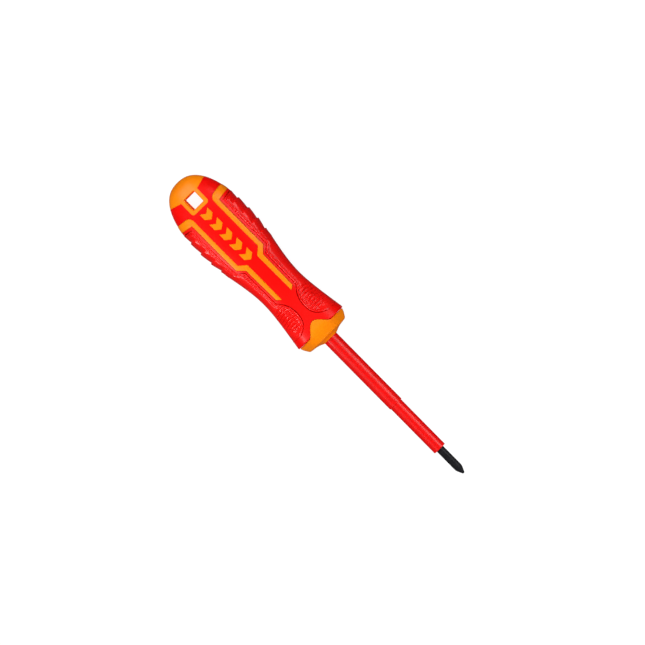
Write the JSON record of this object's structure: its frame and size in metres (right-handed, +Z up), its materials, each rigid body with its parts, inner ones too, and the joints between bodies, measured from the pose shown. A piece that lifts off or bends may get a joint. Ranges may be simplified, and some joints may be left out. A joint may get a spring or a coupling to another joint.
{
  "type": "insulated screwdriver",
  "caption": "Insulated screwdriver with a cross tip, a sleeved blade and a waisted handle that has soft side grips, an orange butt cap with a hanging hole, and an orange front collar.",
  "frame": {"origin": "middle of the tool's footprint, on the surface that it lies on", "axes": "+X along the tool from the butt to the tip, +Z up out of the handle's broad face, +Y to the left side"},
  "size_m": [0.215, 0.0358, 0.031],
  "materials": {
    "blackened_steel": "black phosphated chrome-vanadium steel, satin",
    "red_insulation": "smooth, glossy insulating sleeve",
    "orange_hard_plastic": "moulded, satin gloss",
    "red_hard_plastic": "moulded, satin gloss",
    "red_soft_rubber": "moulded thermoplastic rubber, soft sheen"
  },
  "bodies": {
    "root": {"blade": "blackened_steel", "inner_sleeve": "red_insulation", "outer_sleeve": "red_insulation", "handle_core": "orange_hard_plastic", "butt_cap": "orange_hard_plastic", "front_collar": "orange_hard_plastic", "handle_body": "red_hard_plastic", "left_stripe": "orange_hard_plastic", "right_stripe": "orange_hard_plastic", "left_grip": "red_soft_rubber", "right_grip": "red_soft_rubber", "front_mark_1": "orange_hard_plastic", "front_mark_2": "orange_hard_plastic", "front_mark_3": "orange_hard_plastic", "front_mark_4": "orange_hard_plastic", "front_mark_5": "orange_hard_plastic", "back_mark_1": "orange_hard_plastic", "back_mark_2": "orange_hard_plastic", "back_mark_3": "orange_hard_plastic", "back_mark_4": "orange_hard_plastic", "back_mark_5": "orange_hard_plastic"}
  },
  "joints": []
}
